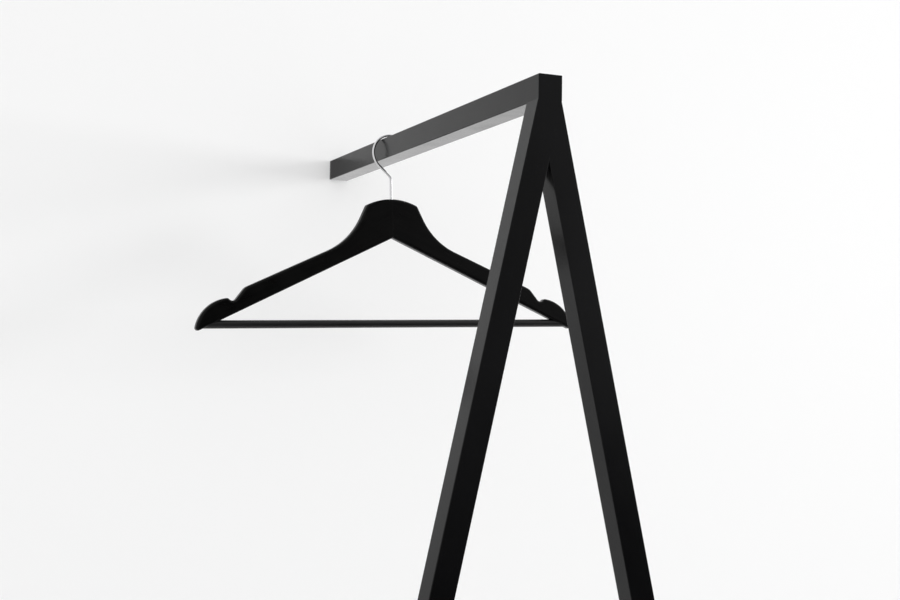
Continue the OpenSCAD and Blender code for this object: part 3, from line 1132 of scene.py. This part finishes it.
@dataclass
class Studio:
    """Pale floor, white wall, one soft lamp, a pale world and the camera.

    Black paint shows its room. Sheets that only reflections see paint that room's reflections:
    dark and graded flags behind the camera, a bright strip at the right that paints highlights,
    and a bright panel and graded shades just before the wall that paint the reflections of a
    brightly lit wall and of the shade on it.
    """

    matt_roughness: float = 0.9
    reach: float = 6.0
    floor_z: float = -0.0003
    floor_colour: Triple = (0.82, 0.82, 0.82)
    wall_x: Span = (-3.2, 3.6)
    wall_y: float = 0.3003
    wall_h: float = 3.2
    wall_colour: Triple = (0.60, 0.60, 0.60)
    # The wall's glow is painted light: it lifts the shade cast on the wall
    wall_glow: float = 0.32
    before_wall: float = 0.001
    # Flags: dark sheets that only reflections see, painting dark reflections; the high one glows in
    # a grade
    flag_x: Span = (-0.15, 3.4)
    flag_y: Span = (-2.6, -0.9)
    flag_split: float = 1.3
    flag_top: float = 3.4
    flag_lift: float = 0.002
    flag_colour: Triple = (0.02, 0.02, 0.02)
    # The high flag is a painted reflection, dark at the left and bright towards the right
    high_x: Span = (0.5, 2.1)
    high_levels: Span = (0.02, 0.80)
    # The strip is a painted highlight: a bright glowing sheet at the right that only reflections
    # see
    strip_x: float = 3.3
    strip_y: Span = (-0.9, -0.1)
    strip_z: Span = (0.3, 2.5)
    highlight_strip_level: float = 7.0
    # The panel is a painted reflection of a brightly lit wall: a glowing sheet that only
    # reflections see
    panel_x: Span = (-0.013, 3.3)
    reflected_panel_level: float = 1.35
    # Shades: painted shade, graded sheets before the wall that only reflections see, darker towards
    # the bottom
    shade_x: Span = (-3.2, -0.1)
    shade_z: Span = (1.10, 1.66)
    shade_levels: Span = (0.55, 0.92)
    # The foot shade is painted shade, darker towards the rail's foot at the wall
    foot_x: Span = (-0.12, -0.013)
    foot_z: Span = (1.60, 1.654)
    foot_levels: Span = (0.90, 0.36)
    world_level: float = 0.88
    world_seen: float = 0.80
    lamp_spot: Triple = (4.1, -2.57, 1.95)
    lamp_aim: Triple = (0.0, 0.3, 1.6)
    lamp_size: Span = (2.5, 1.3)
    lamp_watts: float = 13.5
    lamp_spread: float = 60.0
    camera_spot: Triple = (-0.61856, -1.47954, 1.35615)
    camera_yaw: float = 0.41426
    camera_pitch: float = 0.0597
    camera_roll: float = 0.01514
    sensor: float = 36.0
    focal_px: float = 1426.76
    photo_px: int = 900

    @staticmethod
    def upright(x: Span, y: float, z: Span) -> list[Triple]:
        """Corners of an upright sheet, which faces -Y where x runs upwards."""
        (x0, x1), (z0, z1) = x, z
        return [(x0, y, z0), (x1, y, z0), (x1, y, z1), (x0, y, z1)]

    @staticmethod
    def level(x: Span, y: Span, z: float) -> list[Triple]:
        """Corners of a level sheet that faces up."""
        (x0, x1), (y0, y1) = x, y
        return [(x0, y0, z), (x1, y0, z), (x1, y1, z), (x0, y1, z)]

    def sheet(
        self, name: str, corners: list[Triple], colour: Triple = (0.0, 0.0, 0.0)
    ) -> bpy.types.Object:
        """A flat stage piece with a matt finish.

        Args:
            name: its name.
            corners: its four corners, anticlockwise from the side that faces the object.
            colour: its colour.

        Returns:
            The sheet.
        """
        mesh = bpy.data.meshes.new(name)
        mesh.from_pydata(corners, [], [(0, 1, 2, 3)])
        obj = bpy.data.objects.new(name, mesh)
        bpy.context.scene.collection.objects.link(obj)
        recipe = Recipe(name)
        recipe.set(
            Base_Color=(*colour, 1.0), Roughness=self.matt_roughness, Specular_IOR_Level=0.0
        )
        dress(obj, recipe.material)
        return obj

    @staticmethod
    def glow(sheet: bpy.types.Object, level: float) -> None:
        """Makes a sheet give light of its own.

        Args:
            sheet: the sheet.
            level: how bright it is, where 1 is white.
        """
        shader = sheet.data.materials[0].node_tree.nodes["Principled BSDF"]
        shader.inputs["Emission Color"].default_value = (1.0, 1.0, 1.0, 1.0)
        shader.inputs["Emission Strength"].default_value = level

    @staticmethod
    def hide(obj: bpy.types.Object, *rays: Ray) -> None:
        """Hides a stage piece or a lamp from some kinds of light path."""
        for ray in rays:
            setattr(obj, ray.value, False)

    def only_reflected(self, sheet: bpy.types.Object) -> None:
        """Hides a sheet from all but reflections."""
        self.hide(sheet, Ray.CAMERA, Ray.DIFFUSE, Ray.SHADOW)

    @staticmethod
    def open_back(wall: bpy.types.Object) -> None:
        """Lets the wall be seen through from behind, where no room is.

        Args:
            wall: the wall.
        """
        tree = wall.data.materials[0].node_tree
        behind = tree.nodes.new("ShaderNodeNewGeometry")
        clear = tree.nodes.new("ShaderNodeBsdfTransparent")
        mix = tree.nodes.new("ShaderNodeMixShader")
        tree.links.new(behind.outputs["Backfacing"], mix.inputs[0])
        tree.links.new(tree.nodes["Principled BSDF"].outputs[0], mix.inputs[1])
        tree.links.new(clear.outputs[0], mix.inputs[2])
        tree.links.new(mix.outputs[0], tree.nodes["Material Output"].inputs["Surface"])

    def shade(
        self, name: str, corners: list[Triple], axis: str, ends: Span, levels: Span
    ) -> None:
        """A graded glowing sheet that only reflections see: a painted reflection of light and
        shade.

        Args:
            name: its name.
            corners: its four corners.
            axis: along which of X, Y and Z it changes.
            ends: where the change starts and ends.
            levels: how bright it is there, where 1 is white.
        """
        sheet = self.sheet(name, corners)
        self.glow(sheet, 1.0)
        tree = sheet.data.materials[0].node_tree
        place = tree.nodes.new("ShaderNodeTexCoord")
        split = tree.nodes.new("ShaderNodeSeparateXYZ")
        tree.links.new(place.outputs["Object"], split.inputs[0])
        level = remap(tree, split.outputs[axis], ends, levels, smooth=True)
        tree.links.new(level, tree.nodes["Principled BSDF"].inputs["Emission Strength"])
        self.only_reflected(sheet)

    def room(self) -> None:
        """Floor and wall, which are seen, and the sheets that only reflections see."""
        r, z, y, h = self.reach, self.floor_z, self.wall_y, self.wall_h
        self.sheet("floor", self.level((-r, r), (-r, r), z), self.floor_colour)
        wall = self.sheet("wall", self.upright(self.wall_x, y, (z, h)), self.wall_colour)
        # Painted light: the wall glows of its own, which makes the shade on it shallower
        self.glow(wall, self.wall_glow)
        self.open_back(wall)
        self.flags()
        before = y - self.before_wall
        # Painted highlight: the strip glows and is seen only in reflections
        x, (y0, y1), (z0, z1) = self.strip_x, self.strip_y, self.strip_z
        strip = [(x, y1, z0), (x, y0, z0), (x, y0, z1), (x, y1, z1)]
        # Painted reflection: the panel glows and is seen only in reflections
        panel = self.upright(self.panel_x, before, (0.0, h))
        for name, corners, level in (
            ("strip", strip, self.highlight_strip_level),
            ("panel", panel, self.reflected_panel_level),
        ):
            lit = self.sheet(name, corners)
            self.glow(lit, level)
            self.only_reflected(lit)
        # Painted shade in reflections: the wall's reflection darkens low down and near the rail's
        # foot
        low = self.upright(self.shade_x, before, (z, self.shade_z[1]))
        self.shade("shade_low", low, "Z", self.shade_z, self.shade_levels)
        foot = self.upright(self.foot_x, before, self.foot_z)
        self.shade("shade_foot", foot, "X", self.foot_x, self.foot_levels)

    def flags(self) -> None:
        """Dark flags behind the camera and on the floor, which paint dark reflections, and a graded
        glowing one above them, which paints a reflection that brightens towards the right.
        """
        (x0, x1), (far, near) = self.flag_x, self.flag_y
        z, mid = self.floor_z, self.flag_split
        on_floor = self.level((x0, x1), (far, near), z + self.flag_lift)
        for name, corners in (
            ("flag", self.upright((x1, x0), far, (z, mid))),
            ("flag_low", on_floor),
        ):
            self.only_reflected(self.sheet(name, corners, self.flag_colour))
        high = self.upright((x1, x0), far, (mid, self.flag_top))
        self.shade("flag_high", high, "X", self.high_x, self.high_levels)

    def lamp(self) -> None:
        """A soft rectangular lamp with a narrow cone, far off at the right."""
        data = bpy.data.lights.new("band", "AREA")
        data.shape, data.energy = "RECTANGLE", self.lamp_watts
        data.size, data.size_y = self.lamp_size
        data.spread = math.radians(self.lamp_spread)
        lamp = bpy.data.objects.new("band", data)
        bpy.context.scene.collection.objects.link(lamp)
        lamp.location = self.lamp_spot
        aim = Vector(self.lamp_aim) - Vector(self.lamp_spot)
        lamp.rotation_euler = aim.to_track_quat("-Z", "Y").to_euler()
        self.hide(lamp, Ray.CAMERA, Ray.GLOSSY)

    def world(self) -> None:
        """A pale world: one level lights the object, another is seen and reflected."""
        world = bpy.data.worlds.new("studio")
        world.use_nodes = True
        bpy.context.scene.world = world
        tree = world.node_tree
        back = tree.nodes["Background"]
        back.inputs["Color"].default_value = (1.0, 1.0, 1.0, 1.0)
        rays = tree.nodes.new("ShaderNodeLightPath")
        seen = rays.outputs["Is Camera Ray"]
        for kind in ("Is Glossy Ray", "Is Transmission Ray"):
            either = tree.nodes.new("ShaderNodeMath")
            either.operation = "MAXIMUM"
            tree.links.new(seen, either.inputs[0])
            tree.links.new(rays.outputs[kind], either.inputs[1])
            seen = either.outputs[0]
        level = remap(tree, seen, (0.0, 1.0), (self.world_level, self.world_seen))
        tree.links.new(level, back.inputs["Strength"])
        bpy.context.scene.view_settings.view_transform = "Standard"

    def camera(self) -> None:
        """Camera at the photograph's place, looking along yaw and pitch, with a slight roll."""
        yaw, pitch, roll = self.camera_yaw, self.camera_pitch, self.camera_roll
        c = math.cos(pitch)
        ahead = Vector((math.sin(yaw) * c, math.cos(yaw) * c, math.sin(pitch)))
        right = Vector((math.cos(yaw), -math.sin(yaw), 0.0))
        up = right.cross(ahead)
        right, up = (
            math.cos(roll) * right + math.sin(roll) * up,
            math.cos(roll) * up - math.sin(roll) * right,
        )
        data = bpy.data.cameras.new("photo_camera")
        data.sensor_width = self.sensor
        data.lens = self.sensor * self.focal_px / self.photo_px
        camera = bpy.data.objects.new("photo_camera", data)
        turn = Matrix((right, up, -ahead)).transposed().to_4x4()
        camera.matrix_world = Matrix.Translation(self.camera_spot) @ turn
        bpy.context.scene.collection.objects.link(camera)
        bpy.context.scene.camera = camera

    def build(self) -> None:
        """Sets up the room, the light and the camera."""
        self.room()
        self.lamp()
        self.world()
        self.camera()


def main() -> None:
    """Builds the stage, the stand and the hanger, and reports each piece."""
    logging.basicConfig(level=logging.INFO, format="%(name)s: %(message)s")
    Studio().build()
    for assembly in (TubeStand(), Hanger(HangPlace())):
        for piece in assembly.build():
            faces, finish = len(piece.data.polygons), piece.data.materials[0].name
            LOG.info("%s: %d faces, dressed in %s", piece.name, faces, finish)


if __name__ == "__main__":
    main()
